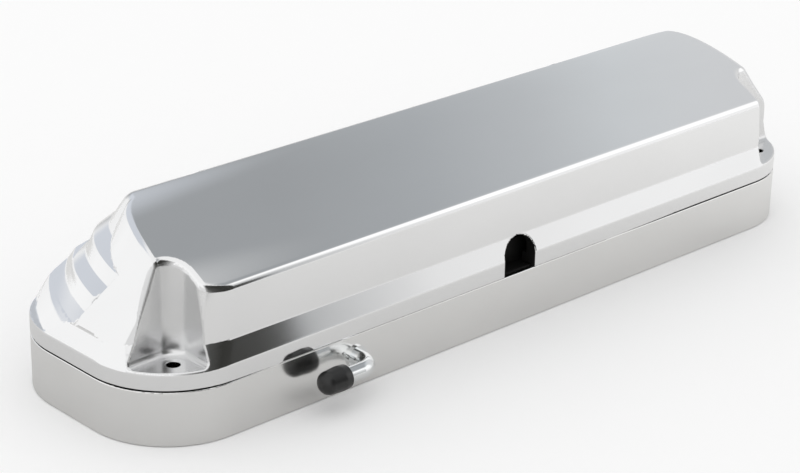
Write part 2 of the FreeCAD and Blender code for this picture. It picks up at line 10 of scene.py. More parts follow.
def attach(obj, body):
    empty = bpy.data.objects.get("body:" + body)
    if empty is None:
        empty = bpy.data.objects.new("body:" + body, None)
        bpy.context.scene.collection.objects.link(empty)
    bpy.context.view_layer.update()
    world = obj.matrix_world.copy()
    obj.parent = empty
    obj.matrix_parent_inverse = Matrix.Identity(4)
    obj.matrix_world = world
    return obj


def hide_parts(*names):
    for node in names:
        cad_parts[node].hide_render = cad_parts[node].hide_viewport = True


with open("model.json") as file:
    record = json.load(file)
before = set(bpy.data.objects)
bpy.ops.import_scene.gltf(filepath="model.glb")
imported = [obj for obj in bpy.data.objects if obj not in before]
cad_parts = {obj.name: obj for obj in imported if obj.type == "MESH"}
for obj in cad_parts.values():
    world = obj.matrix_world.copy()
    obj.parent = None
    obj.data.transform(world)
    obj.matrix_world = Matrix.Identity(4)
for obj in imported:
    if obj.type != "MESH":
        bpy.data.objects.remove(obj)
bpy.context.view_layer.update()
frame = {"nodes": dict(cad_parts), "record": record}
NODES = frame["nodes"]
MM = 0.001

# Sizes of the cover in millimetres
HALF_L, HALF_W, CORNER_R = 220.0, 59.0, 42.0
PARTING_Z, RAIL_Z, FACET_Z, SHOULDER_Z, CROWN_Z = 26.0, 34.0, 44.65, 69.3, 86.0
FACET_IN, WALL_DRAFT, WALL = 3.0, 0.6, 3.2
RAIL_W, RAIL_INNER_Z = 9.0, 31.5
SLOPE_X, SLOPE_RUN = -217.3, 0.5
LEFT_R, LEFT_R_FALL = 44.0, 0.487
CONE_AXIS, CONE = (-117.5, -38.0), ((71.7, 100), (87.25, 69), (109, 43))
STEP_AXIS = (-77.5, -39.1)
STEPS = ((107, 88.9), (119.4, 71.7), (127, 67.4), (130.2, 60.9), (136.6, 57.2),
         (139.7, 50.3), (148, 42.2), (154, 34.5), (156.4, 26))
STEP_REACH = 3
CHEEK, CHEEK_BLEND = ((-201.0, -13.0), (-212.0, -4.5)), 0.6
RIGHT = ((193.6, -36.0, 79.3), (210.0, 31.0, 81.0), (217.3, -56.0, 44.65))
STEEP_X, STEEP_RUN = 217.0, 0.17
FRONT_BOLT, BACK_BOLT, BOLT_R = (197.2, -43.7), (120.0, 49.0), 3.2
POCKET_LEFT, POCKET_RIGHT, POCKET_BACK = 9.3, 15.2, 9.3
POCKET_R, POCKET_Z, BACK_POCKET_R = 9.0, 35.0, 9.0
NOTCH_R, NOTCH_Z, NOTCH_DEPTH = 10.35, 44.4, 15.0
REVEAL, REVEAL_IN = 0.9, 2.2

# The left end sinks towards the back: share of y squared, from a height on, over a height
STEP_FALL, FALL_FROM_Z, FALL_OVER = 0.0025, 43, 10

# The reveal opens beyond x = -150 and x = 60, each over its own length
REVEAL_LEFT, REVEAL_RIGHT = (150, 42), (60, 65)

# Edge radii in millimetres
END_EDGE_R, CHEEK_EDGE_R = 4.0, 1.0
POCKET_FOOT_R, BACK_RIM_R, BOLT_EDGE_R, NOTCH_EDGE_R = 3.0, 1.5, 0.3, 0.5
RIM_R_LOW, RIM_R_HIGH, RIM_FROM_Z, RIM_OVER = 0.6, 2.6, 52, 16

# Rounded bends: radius and degrees between the normals of the two faces
RAIL_EDGE, BODY_FOOT = (5.0, 16), (8.0, 15)
CONE_BEND, CONE_FOOT, RIGHT_BEND = (20.0, 12), (6.0, 40), (6.0, 50)
END_ANGLE = 60
FOOT_BENDS = ((9.0, 8), (9.0, 22))
TREAD_BENDS = ((2.2, 34), (2.2, 36))
HOLLOW_BENDS = ((3.0, 25), (2.2, 34), (3.0, 21))

# Field value that lies well inside the metal
INSIDE = -50.0


def both(a, b, r, degrees=90.0):
    """Common part of two fields with a rounded edge; degrees lie between their normals."""
    c = np.cos(np.radians(degrees))
    pa, pb = a + r, b + r
    arc = (pa > pb * c) & (pb > pa * c) & (pa + pb > 0)
    length = np.sqrt(np.maximum(pa * pa + pb * pb - 2 * pa * pb * c, 0) / (1 - c * c))
    return np.where(arc, length - r, np.maximum(a, b))


def either(a, b, r, degrees=90.0):
    """Union of two fields with a rounded inner corner."""
    return -both(-a, -b, r, degrees)


def outline(x, y, inset):
    """Field of the rounded outline seen from above, moved inwards by inset."""
    qx = np.abs(x) - (HALF_L - CORNER_R)
    qy = np.abs(y) - (HALF_W - CORNER_R)
    corner = np.hypot(np.maximum(qx, 0), np.maximum(qy, 0))
    return corner + np.minimum(np.maximum(qx, qy), 0) - CORNER_R + inset


def lean(v, run):
    """Distance to a face that leans by run for each millimetre of height."""
    return v / np.hypot(1.0, run)


def line(r, z, p, q):
    """Field of the half plane under the line from p to q of a turned profile."""
    dr, dz = q[0] - p[0], q[1] - p[1]
    return (-(r - p[0]) * dz + (z - p[1]) * dr) / np.hypot(dr, dz)


def left_corner(x, y, z):
    """Leaning round corner between the front wall and the sloped left end."""
    up = np.clip((z - RAIL_Z) / (FACET_Z - RAIL_Z), 0, 1)
    rise = np.maximum(z - FACET_Z, 0)
    end = -HALF_L + (HALF_L + SLOPE_X) * up + SLOPE_RUN * rise
    side = -HALF_W + FACET_IN * up + WALL_DRAFT / (SHOULDER_Z - FACET_Z) * rise
    r = CORNER_R + (LEFT_R - CORNER_R) * up - LEFT_R_FALL * rise
    dx, dy = x - end - r, y - side - r
    return np.where((dx < 0) & (dy < 0), np.hypot(dx, dy) - r, INSIDE)


def from_steps(x, y):
    return np.hypot(x - STEP_AXIS[0], y - STEP_AXIS[1])


def steps(r, z):
    """Stepped profile of the left end, turned round the step axis."""
    h = [line(r, z, p, q) for p, q in zip(STEPS, STEPS[1:])]
    low = both(both(h[5], h[6], *FOOT_BENDS[0]), h[7], *FOOT_BENDS[1])
    second = both(h[3], h[4], *TREAD_BENDS[1])
    first = both(h[1], h[2], *TREAD_BENDS[0])
    lower = either(second, low, *HOLLOW_BENDS[2])
    return either(h[0], either(first, lower, *HOLLOW_BENDS[1]), *HOLLOW_BENDS[0])


def sunken(y, z):
    """Height with the fall of the left end towards the back taken off."""
    share = np.clip((z - FALL_FROM_Z) / FALL_OVER, 0, 1)
    return z + STEP_FALL * np.maximum(y, 0) ** 2 * share


def crown_arch(y, z):
    half_top = HALF_W - FACET_IN - WALL_DRAFT
    drop = CROWN_Z - SHOULDER_Z
    radius = (half_top ** 2 + drop ** 2) / (2 * drop)
    return np.hypot(y, z - CROWN_Z + radius) - radius


def long_walls(x, y, z):
    draft = WALL_DRAFT / (SHOULDER_Z - FACET_Z)
    wall = lean(np.abs(y) - HALF_W + FACET_IN + draft * (z - FACET_Z), draft)
    return np.maximum(wall, outline(x, y, FACET_IN))


def smooth_end(x, y, z, sunk):
    """Sloped left end with the cone behind the pocket and the round front corner."""
    slope = lean(SLOPE_X + SLOPE_RUN * (sunk - FACET_Z) - x, SLOPE_RUN)
    r = np.hypot(np.minimum(x - CONE_AXIS[0], 0), np.maximum(y - CONE_AXIS[1], 0))
    cone = either(line(r, sunk, CONE[0], CONE[1]), line(r, sunk, CONE[1], CONE[2]), *CONE_BEND)
    cone = np.where(x < CONE_AXIS[0], both(cone, r - CONE[2][0], *CONE_FOOT), INSIDE)
    return np.maximum(np.maximum(cone, slope), left_corner(x, y, z))


def carve_steps(smooth, stepped, x, y, sunk, t):
    """Smooth body with the stepped one let in behind the cheek."""
    r = from_steps(x, y)
    (ax, ay), (bx, by) = CHEEK
    behind = ((y - ay) * (bx - ax) - (x - ax) * (by - ay)) / np.hypot(bx - ax, by - ay)
    limits = np.maximum(behind, x - CONE_AXIS[0])
    under = line(r, sunk, STEPS[1], STEPS[2]) + t
    above = -line(r, sunk, STEPS[5], STEPS[6]) - t
    carve = np.maximum(limits, np.maximum(under, above))
    carve = np.maximum(carve, STEPS[0][0] + STEP_REACH - r)
    stepped = np.maximum(np.maximum(stepped, smooth + CHEEK_BLEND * behind), limits)
    return np.minimum(both(smooth, -carve, CHEEK_EDGE_R), stepped)


def right_end(x, y, z):
    """Steep end face, and the plane that cuts the crown's corner above it."""
    a, b, c = (np.array(p) for p in RIGHT)
    normal = np.cross(b - a, c - a)
    normal = normal * np.sign(normal[0]) / np.linalg.norm(normal)
    plane = normal[0] * (x - a[0]) + normal[1] * (y - a[1]) + normal[2] * (z - a[2])
    return lean(x - STEEP_X + STEEP_RUN * (z - FACET_Z), STEEP_RUN), plane


def crowned_body(x, y, z, t):
    """Crowned body with both ends shaped, moved inwards by t."""
    crown = crown_arch(y, z) + t
    shell = long_walls(x, y, z) + t
    sunk = sunken(y, z)
    edge = END_EDGE_R - t
    side = smooth_end(x, y, z, sunk) + t
    smooth = both(crown, np.maximum(shell, side), edge, END_ANGLE)
    treads = steps(from_steps(x, y), sunk) + t
    stepped = both(crown, np.maximum(shell, treads), edge, END_ANGLE)
    body = carve_steps(smooth, stepped, x, y, sunk, t)
    steep, plane = right_end(x, y, z)
    return both(np.maximum(body, steep + t), plane + t, *RIGHT_BEND)


def pockets(x, y, z, grow):
    """The four bolt pockets, open upwards; a grown pocket has no floor."""
    side = FRONT_BOLT[0] - np.where(x < 0, POCKET_LEFT, POCKET_RIGHT) - grow
    front = both(side - np.abs(x), y - FRONT_BOLT[1] - POCKET_BACK - grow, POCKET_R + grow)
    back = np.hypot(np.abs(x) - BACK_BOLT[0], y - BACK_BOLT[1]) - BACK_POCKET_R - grow
    if grow > 0:
        return front, back
    return both(front, POCKET_Z - z, POCKET_FOOT_R), both(back, POCKET_Z - z, POCKET_FOOT_R)


def cavity(x, y, z):
    """Hollow inside of the cover, with metal left round the pockets."""
    front, back = pockets(x, y, z, WALL)
    inner = np.maximum(crowned_body(x, y, z, WALL), RAIL_INNER_Z - z)
    inner = np.minimum(inner, np.maximum(outline(x, y, RAIL_W), z - RAIL_INNER_Z - 1))
    return np.maximum(inner, -np.minimum(front, back))


def rail(x, y, z):
    """Vertical rail with the facet above it, which the steps cut at the left end's back."""
    out = outline(x, y, 0.0)
    run = FACET_IN / (FACET_Z - RAIL_Z)
    facet = lean(np.maximum(out + run * (z - RAIL_Z), left_corner(x, y, z)), run)
    body = np.maximum(both(out, facet, *RAIL_EDGE), z - FACET_Z)
    low = np.minimum(steps(from_steps(x, y), sunken(y, z)), z - RAIL_Z - 1)
    return np.where((x < CONE_AXIS[0]) & (y > 0), np.maximum(body, low), body)


def arch(x, z):
    return np.hypot(x, np.maximum(z - NOTCH_Z + NOTCH_R, 0)) - NOTCH_R


def underside(x, y):
    """Height of the lower face, lifted round the outside at both ends."""
    beyond_left = (-x - REVEAL_LEFT[0]) / REVEAL_LEFT[1]
    beyond_right = (x - REVEAL_RIGHT[0]) / REVEAL_RIGHT[1]
    lift = np.clip(np.where(x < 0, beyond_left, beyond_right), 0, 1) * REVEAL
    return PARTING_Z + np.where(outline(x, y, REVEAL_IN) > 0, lift, 0)


def cover(x, y, z):
    """Signed field of the whole cover, negative in the metal."""
    body = either(crowned_body(x, y, z, 0.0), rail(x, y, z), *BODY_FOOT)
    front, back = pockets(x, y, z, 0.0)
    rim = RIM_R_LOW + (RIM_R_HIGH - RIM_R_LOW) * np.clip((z - RIM_FROM_Z) / RIM_OVER, 0, 1)
    body = both(body, -front, rim)
    body = both(body, -back, BACK_RIM_R)
    for bolt in (FRONT_BOLT, BACK_BOLT):
        hole = np.hypot(np.abs(x) - bolt[0], y - bolt[1])
        body = both(body, BOLT_R - hole, BOLT_EDGE_R)
    notch = np.maximum(arch(x, z), y + HALF_W - NOTCH_DEPTH)
    body = both(body, -notch, NOTCH_EDGE_R)
    return np.maximum(np.maximum(body, -cavity(x, y, z)), underside(x, y) - z)


# Mesh of a signed field

# Steps between the grid's lines in millimetres, finer at the ends, the notch and the seam
ALONG = ((-HALF_L - 0.5, -150, 0.8), (-150, -12, 3.0), (-12, 12, 0.6), (12, 165, 3.0),
         (165, HALF_L + 0.5, 0.9))
ACROSS = ((-HALF_W - 0.4, -54, 0.5), (-54, -8, 0.85), (-8, HALF_W + 0.5, 1.5))
UP = ((PARTING_Z - 0.4, 27.6, 0.4), (27.6, CROWN_Z + 0.6, 0.9))
HALVINGS = 8
PULL_TO_MIDDLE = 0.06
TETRAHEDRON = ((1, -1, -1), (-1, -1, 1), (-1, 1, -1), (1, 1, 1))

# Share of the way to a face's middle at which its corners' normals are taken
SHADE_INSET = 0.25

# How close to a shaped face a point counts as on it, and where the notch's inside ends
NEAR_HOLLOW, NEAR_POCKET, NEAR_NOTCH, NEAR_REVEAL = 0.6, 0.35, 0.4, 0.1
NOTCH_BACK, NOTCH_LIP, REVEAL_LIP = -20, 0.7, 0.3


def slopes(field, p, step=0.04):
    """Unit normals of a field at points p."""
    total = np.zeros_like(p)
    for corner in TETRAHEDRON:
        k = np.array(corner, float)
        q = p + k * step
        total += field(q[:, 0], q[:, 1], q[:, 2])[:, None] * k
    return total / np.maximum(np.linalg.norm(total, axis=1), 1e-12)[:, None]


def spaced(*spans):
    """Grid lines through spans of (start, end, step)."""
    lines = [np.arange(a, b - step / 2, step) for a, b, step in spans]
    return np.append(np.concatenate(lines), spans[-1][1])


def sampled(field, axes):
    value = np.empty(tuple(len(a) for a in axes))
    for i, x in enumerate(axes[0]):
        y, z = np.meshgrid(axes[1], axes[2], indexing="ij")
        value[i] = field(np.full_like(y, x), y, z)
    return value


def crossings(field, axes, value, axis):
    """Points where the surface crosses the grid lines along one axis, with their four cells."""
    solid = value < 0
    cells = tuple(n - 1 for n in value.shape)
    here, there = [slice(None)] * 3, [slice(None)] * 3
    here[axis], there[axis] = slice(None, -1), slice(1, None)
    a = np.argwhere(solid[tuple(here)] != solid[tuple(there)])
    b = a.copy()
    b[:, axis] += 1
    first = value[tuple(a.T)]
    pa = np.stack([axes[i][a[:, i]] for i in range(3)], axis=1)
    pb = np.stack([axes[i][b[:, i]] for i in range(3)], axis=1)
    low, high = np.zeros(len(a)), np.ones(len(a))
    for _ in range(HALVINGS):
        t = (low + high) / 2
        p = pa + (pb - pa) * t[:, None]
        same = (field(p[:, 0], p[:, 1], p[:, 2]) < 0) == (first < 0)
        low = np.where(same, t, low)
        high = np.where(same, high, t)
    u, v = (axis + 1) % 3, (axis + 2) % 3
    ring = []
    for du, dv in ((-1, -1), (0, -1), (0, 0), (-1, 0)):
        c = a.copy()
        c[:, u] += du
        c[:, v] += dv
        ring.append(np.ravel_multi_index(tuple(c.T), cells, mode="clip"))
    ring = np.stack(ring, axis=1)
    ring[first > 0] = ring[first > 0][:, ::-1]
    return pa + (pb - pa) * ((low + high) / 2)[:, None], ring


def skin(field, axes):
    """Corner points and outward quads of the surface where a field is zero."""
    value = sampled(field, axes)
    found = [crossings(field, axes, value, axis) for axis in range(3)]
    points = np.concatenate([p for p, _ in found])
    rings = np.concatenate([r for _, r in found])
    normals = slopes(field, points)
    used, index = np.unique(rings, return_inverse=True)
    index = index.reshape(rings.shape)
    n = len(used)
    count = np.zeros(n)
    middle = np.zeros((n, 3))
    for k in range(4):
        np.add.at(count, index[:, k], 1)
        np.add.at(middle, index[:, k], points)
    middle /= count[:, None]
    # each cell's corner is where the planes of its crossings meet best
    square = np.zeros((n, 3, 3))
    right = np.zeros((n, 3))
    outer = normals[:, :, None] * normals[:, None, :]
    for k in range(4):
        offset = ((points - middle[index[:, k]]) * normals).sum(axis=1)
        np.add.at(square, index[:, k], outer)
        np.add.at(right, index[:, k], normals * offset[:, None])
    square += np.eye(3) * PULL_TO_MIDDLE
    shift = np.linalg.solve(square, right[:, :, None])[:, :, 0]
    at = np.unravel_index(used, tuple(m - 1 for m in value.shape))
    low = np.stack([axes[i][at[i]] for i in range(3)], axis=1)
    high = np.stack([axes[i][at[i] + 1] for i in range(3)], axis=1)
    return np.clip(middle + shift, low, high), index


def skin_piece(name, corners, quads, field):
    """Blender mesh in metres, shaded with the field's own normals."""
    used, quads = np.unique(quads, return_inverse=True)
    quads = quads.reshape(-1, 4)
    corners = corners[used]
    ends = corners[quads]
    centre = ends.mean(axis=1, keepdims=True)
    near = (ends * (1 - SHADE_INSET) + centre * SHADE_INSET).reshape(-1, 3)
    normals = slopes(field, near)
    mesh = bpy.data.meshes.new(name)
    mesh.vertices.add(len(corners))
    mesh.vertices.foreach_set("co", (corners * MM).ravel())
    mesh.loops.add(quads.size)
    mesh.loops.foreach_set("vertex_index", quads.ravel())
    mesh.polygons.add(len(quads))
    mesh.polygons.foreach_set("loop_start", np.arange(0, quads.size, 4))
    mesh.polygons.foreach_set("use_smooth", np.ones(len(quads), bool))
    mesh.update(calc_edges=True)
    mesh.normals_split_custom_set(normals.tolist())
    obj = bpy.data.objects.new(name, mesh)
    bpy.context.scene.collection.objects.link(obj)
    return obj


def shaded_places(x, y, z):
    """Places on the cover's surface painted in shade: hollow, notch and reveal, which take the
    near-black cast_inside material with as-cast roughness.
    """
    hollow = np.abs(cavity(x, y, z)) < NEAR_HOLLOW
    slot = np.maximum(arch(x, z) - NEAR_NOTCH, y - NOTCH_BACK)
    notch = (slot < 0) & (y > -HALF_W + NOTCH_LIP)
    reveal = (z < PARTING_Z + REVEAL + NEAR_REVEAL) & (outline(x, y, 0.0) < -REVEAL_LIP)
    return hollow | notch | reveal


def dress_cover():
    """Cover with its rounded edges, as an outer skin and the inside, which carries painted
    shade.
    """
    corners, quads = skin(cover, (spaced(*ALONG), spaced(*ACROSS), spaced(*UP)))
    corners = np.clip(corners, (-HALF_L, -HALF_W, PARTING_Z), (HALF_L, HALF_W, CROWN_Z))
    x, y, z = corners[quads].mean(axis=1).T
    inside = shaded_places(x, y, z)
    front, back = pockets(x, y, z, 0.0)
    room = (np.minimum(np.abs(front), np.abs(back)) < NEAR_POCKET) & ~inside
    # The inside piece takes cast_inside, a near-black painted shade for the hollow, the notch
    # and the reveal
    for name, keep, mat in (("cover_shell", ~inside, "polished_alloy"),
                            ("cover_shaded_inside", inside, "cast_inside")):
        piece = skin_piece(name, corners, quads[keep], cover)
        piece.data.materials.append(MATS[mat])
        piece.data.materials.append(MATS["pocket_alloy"])
        piece.data.polygons.foreach_set("material_index", room[keep].astype(np.int32))
        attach(piece, "root")
        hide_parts("cover")


# Materials

STEEL = (0.56, 0.56, 0.55)
# Near-black painted shade for the cover's hollow, notch and reveal and for the base's inside
INSIDE_SHADE_COLOUR = (0.055, 0.055, 0.053)
CAST_ROUGH = 0.55
# The base gets painted shade on its surfaces deeper than this reach inside the outline, fading
# in over the core edge
BASE_SHADE_REACH, CORE_EDGE = 0.0035, 0.0003

# Clouds in the polish as scale, detail and stretch, and the noise values between which they
# change colour and roughness; then the detail and stretch of waves and grain
CLOUDS, CLOUD_COLOUR, CLOUD_ROUGH = (18.0, 4.0, (0.5, 1.0, 1.0)), (0.35, 0.65), (0.3, 0.7)
WAVE_DETAIL, WAVE_STRETCH, GRAIN_DETAIL = 2.0, (0.35, 1.0, 1.0), 3.0

# Dust on rubber as scale and detail, the noise values it lies between and its paler colour
DUST, DUST_SPREAD, DUST_GAIN, DUST_LIFT = (60.0, 4.0), (0.45, 0.75), 1.6, 0.002
RUBBER_GRAIN_HEIGHT = 0.00001

# Light and dark colour, roughness with its spread, waves as scale and height in metres,
# grain as scale, stretch along X, Y and Z, and height in metres
METALS = {
    "polished_alloy": ((0.91, 0.912, 0.915), (0.88, 0.882, 0.885), (0.06, 0.02),
                       (26.0, 0.00005), (700.0, (0.15, 1, 1), 0.0000012)),
    "pocket_alloy": ((0.84, 0.842, 0.845), (0.76, 0.762, 0.765), (0.24, 0.05),
                     (60.0, 0.00004), (700.0, (1, 1, 0.3), 0.000003)),
    "satin_alloy": ((0.915, 0.912, 0.903), (0.87, 0.868, 0.860), (0.15, 0.03),
                    (26.0, 0.00003), (700.0, (0.15, 1, 1), 0.0000025)),
    # cast_inside: near-black painted shade, with as-cast roughness
    "cast_inside": (INSIDE_SHADE_COLOUR, (0.035, 0.035, 0.034), (0.6, 0.05),
                    (90.0, 0.00005), (900.0, (1, 1, 1), 0.00002)),
    "plated_tube": ((0.88, 0.895, 0.90), (0.82, 0.835, 0.84), (0.10, 0.03),
                    (40.0, 0.000002), (900.0, (1, 1, 1), 0.0000005)),
    "baffle_sheet": (STEEL, (0.5, 0.5, 0.5), (0.36, 0.05),
                     (60.0, 0.00003), (900.0, (0.1, 1, 1), 0.000004)),
    "zinc_screw": ((0.66, 0.65, 0.60), (0.58, 0.57, 0.52), (0.3, 0.05),
                   (200.0, 0.00001), (900.0, (1, 1, 1), 0.000004)),
    "sleeve_steel": (STEEL, (0.5, 0.5, 0.49), (0.28, 0.05),
                     (200.0, 0.00001), (1400.0, (0.2, 0.2, 3), 0.000004)),
    "insert_brass": ((0.72, 0.56, 0.27), (0.64, 0.48, 0.22), (0.26, 0.05),
                     (200.0, 0.00001), (1400.0, (0.2, 0.2, 3), 0.000004)),
}

# Colour, roughness and scale of the grain
RUBBERS = {
    "seal_rubber": ((0.012, 0.012, 0.012), 0.6, 900.0),
    "gasket_rubber": ((0.014, 0.014, 0.015), 0.6, 900.0),
    "cap_rubber": ((0.010, 0.010, 0.010), 0.3, 1200.0),
    "grommet_rubber": ((0.02, 0.02, 0.02), 0.55, 900.0),
}


def node_tree(name):
    mat = bpy.data.materials.new(name)
    mat.use_nodes = True
    return mat, mat.node_tree, mat.node_tree.nodes["Principled BSDF"]


def noise(tree, scale, detail, stretch=(1.0, 1.0, 1.0)):
    coord = tree.nodes.new("ShaderNodeTexCoord")
    mapping = tree.nodes.new("ShaderNodeMapping")
    mapping.inputs["Scale"].default_value = stretch
    tex = tree.nodes.new("ShaderNodeTexNoise")
    tex.inputs["Scale"].default_value = scale
    tex.inputs["Detail"].default_value = detail
    tree.links.new(coord.outputs["Object"], mapping.inputs["Vector"])
    tree.links.new(mapping.outputs["Vector"], tex.inputs["Vector"])
    return tex.outputs["Fac"]


def map_range(tree, source, low, high, a, b, smooth=False):
    node = tree.nodes.new("ShaderNodeMapRange")
    node.interpolation_type = "SMOOTHSTEP" if smooth else "LINEAR"
    for key, value in (("From Min", low), ("From Max", high), ("To Min", a), ("To Max", b)):
        node.inputs[key].default_value = value
    tree.links.new(source, node.inputs["Value"])
    return node.outputs["Result"]


def bump(tree, bsdf, source, distance, base=None):
    node = tree.nodes.new("ShaderNodeBump")
    node.inputs["Strength"].default_value = 1.0
    node.inputs["Distance"].default_value = distance
    tree.links.new(source, node.inputs["Height"])
    if base:
        tree.links.new(base, node.inputs["Normal"])
    tree.links.new(node.outputs["Normal"], bsdf.inputs["Normal"])
    return node.outputs["Normal"]


def blend(tree, factor, a, b):
    """Colour going from a to b with factor; either is a colour or a socket."""
    node = tree.nodes.new("ShaderNodeMix")
    node.data_type = "RGBA"
    for key, value in (("A", a), ("B", b)):
        if isinstance(value, tuple):
            node.inputs[key].default_value = (*value, 1.0)
        else:
            tree.links.new(value, node.inputs[key])
    tree.links.new(factor, node.inputs["Factor"])
    return node.outputs["Result"]


def maths(tree, operation, a, b=None):
    node = tree.nodes.new("ShaderNodeMath")
    node.operation = operation
    for socket, value in zip(node.inputs, (a, b)):
        if value is None:
            continue
        if isinstance(value, (int, float)):
            socket.default_value = value
        else:
            tree.links.new(value, socket)
    return node.outputs["Value"]


def beyond(tree, half_length, half_width):
    """Distance outside a rectangle round the part's middle, seen from above, and X."""
    coord = tree.nodes.new("ShaderNodeTexCoord")
    axes = tree.nodes.new("ShaderNodeSeparateXYZ")
    tree.links.new(coord.outputs["Object"], axes.inputs["Vector"])
    squares = []
    for axis, half in (("X", half_length), ("Y", half_width)):
        out = maths(tree, "SUBTRACT", maths(tree, "ABSOLUTE", axes.outputs[axis]), half)
        squares.append(maths(tree, "POWER", maths(tree, "MAXIMUM", out, 0.0), 2.0))
    return maths(tree, "SQRT", maths(tree, "ADD", *squares)), axes.outputs["X"]


def metal(name, light, dark, roughness, waves, grain):
    """Metal with cloudy polish, long soft waves and a fine grain."""
    mat, tree, bsdf = node_tree(name)
    bsdf.inputs["Metallic"].default_value = 1.0
    rough, spread = roughness
    wave_scale, wave_height = waves
    grain_scale, grain_stretch, grain_height = grain
    cloud = noise(tree, *CLOUDS)
    tree.links.new(blend(tree, map_range(tree, cloud, *CLOUD_COLOUR, 0.0, 1.0), light, dark),
                   bsdf.inputs["Base Color"])
    tree.links.new(map_range(tree, cloud, *CLOUD_ROUGH, rough - spread, rough + spread),
                   bsdf.inputs["Roughness"])
    slow = bump(tree, bsdf, noise(tree, wave_scale, WAVE_DETAIL, WAVE_STRETCH), wave_height)
    bump(tree, bsdf, noise(tree, grain_scale, GRAIN_DETAIL, grain_stretch), grain_height, slow)
    return mat


def paint_core_shade(mat, reach):
    """Paint shade on the surfaces further than reach inside the outline: a dark colour, with
    as-cast roughness.
    """
    tree = mat.node_tree
    bsdf = tree.nodes["Principled BSDF"]
    away, _ = beyond(tree, (HALF_L - CORNER_R) * MM, (HALF_W - CORNER_R) * MM)
    limit = CORNER_R * MM - reach
    core = map_range(tree, away, limit - CORE_EDGE, limit, 1.0, 0.0)
    # The core takes the painted shade colour and the as-cast roughness
    for key, dull in (("Base Color", (*INSIDE_SHADE_COLOUR, 1.0)), ("Roughness", CAST_ROUGH)):
        node = tree.nodes.new("ShaderNodeMix")
        node.data_type = "RGBA" if key == "Base Color" else "FLOAT"
        tree.links.new(core, node.inputs["Factor"])
        tree.links.new(bsdf.inputs[key].links[0].from_socket, node.inputs["A"])
        node.inputs["B"].default_value = dull
        tree.links.new(node.outputs["Result"], bsdf.inputs[key])


def rubber(name, colour, rough, grain):
    """Rubber with paler dust on it and a fine grain."""
    mat, tree, bsdf = node_tree(name)
    bsdf.inputs["Roughness"].default_value = rough
    dust = noise(tree, *DUST)
    pale = tuple(c * DUST_GAIN + DUST_LIFT for c in colour)
    tree.links.new(blend(tree, map_range(tree, dust, *DUST_SPREAD, 0.0, 1.0), colour, pale),
                   bsdf.inputs["Base Color"])
    bump(tree, bsdf, noise(tree, grain, GRAIN_DETAIL), RUBBER_GRAIN_HEIGHT)
    return mat


MATS = {name: metal(name, *look) for name, look in METALS.items()}
MATS.update({name: rubber(name, *look) for name, look in RUBBERS.items()})
# Painted shade on the base's inside, away from its outer surfaces
paint_core_shade(MATS["satin_alloy"], BASE_SHADE_REACH)

for part in frame["record"]["subparts"]:
    obj = NODES[part["node"]]
    obj.data.materials.clear()
    obj.data.materials.append(MATS[part["material_slot"]])

dress_cover()


# Floor

FLOOR_HALF, FLOOR_DROP = 6.0, 0.0002
FLOOR_WHITE, FLOOR_ROUGH = (0.97, 0.97, 0.97), 0.9
FLOOR_TINT = (("Red", 1.0), ("Green", 0.995), ("Blue", 0.985))
# The floor seen in the metal: painted shadow that lifts with distance from the object, and
# painted light that grows along +X
MIRRORED_FLOOR_SHADOW = (0.0, 0.26, 0.68, 0.78)
MIRRORED_FLOOR_LIGHT = (-0.25, 0.30, 0.94, 1.20)
FLOOR_MIRRORED_TO = (0.18, 0.28)


def ray_kind(tree, kind):
    return tree.nodes.new("ShaderNodeLightPath").outputs[kind]


def floor_sheet():
    mesh = bpy.data.meshes.new("floor")
    bm = bmesh.new()
    bmesh.ops.create_grid(bm, x_segments=1, y_segments=1, size=FLOOR_HALF)
    bm.to_mesh(mesh)
    bm.free()
    floor = bpy.data.objects.new("floor", mesh)
    floor.location = (0, 0, -FLOOR_DROP)
    bpy.context.scene.collection.objects.link(floor)
    return floor


def build_floor():
    """White floor; the metal mirrors a greyer one with painted shadow next to the object and
    painted light towards +X, and further out the room instead.
    """
    floor = floor_sheet()
    mat, tree, bsdf = node_tree("floor_white")
    bsdf.inputs["Roughness"].default_value = FLOOR_ROUGH
    bsdf.inputs["Specular IOR Level"].default_value = 0.0
    away, along = beyond(tree, HALF_L * MM, HALF_W * MM)
    glossy = ray_kind(tree, "Is Glossy Ray")
    # Painted shadow near the object times painted light along X, for the floor seen in the
    # metal
    seen = maths(tree, "MULTIPLY", map_range(tree, away, *MIRRORED_FLOOR_SHADOW),
                 map_range(tree, along, *MIRRORED_FLOOR_LIGHT))
    shaded_floor = tree.nodes.new("ShaderNodeCombineColor")
    for channel, share in FLOOR_TINT:
        tree.links.new(maths(tree, "MULTIPLY", seen, share), shaded_floor.inputs[channel])
    colour = blend(tree, glossy, FLOOR_WHITE, shaded_floor.outputs["Color"])
    tree.links.new(colour, bsdf.inputs["Base Color"])
    clear = tree.nodes.new("ShaderNodeBsdfTransparent")
    choose = tree.nodes.new("ShaderNodeMixShader")
    far = map_range(tree, away, *FLOOR_MIRRORED_TO, 0.0, 1.0, True)
    tree.links.new(maths(tree, "MULTIPLY", glossy, far), choose.inputs["Fac"])
    tree.links.new(bsdf.outputs["BSDF"], choose.inputs[1])
    tree.links.new(clear.outputs["BSDF"], choose.inputs[2])
    tree.links.new(choose.outputs["Shader"], tree.nodes["Material Output"].inputs["Surface"])
    floor.data.materials.append(mat)


# Room that the metal mirrors. Turns go round Z from +X and lifts above the horizon, in
# degrees; four of them give where a patch begins, is full, starts to fade and has ended.

def grey(value):
    return (value, value, value)


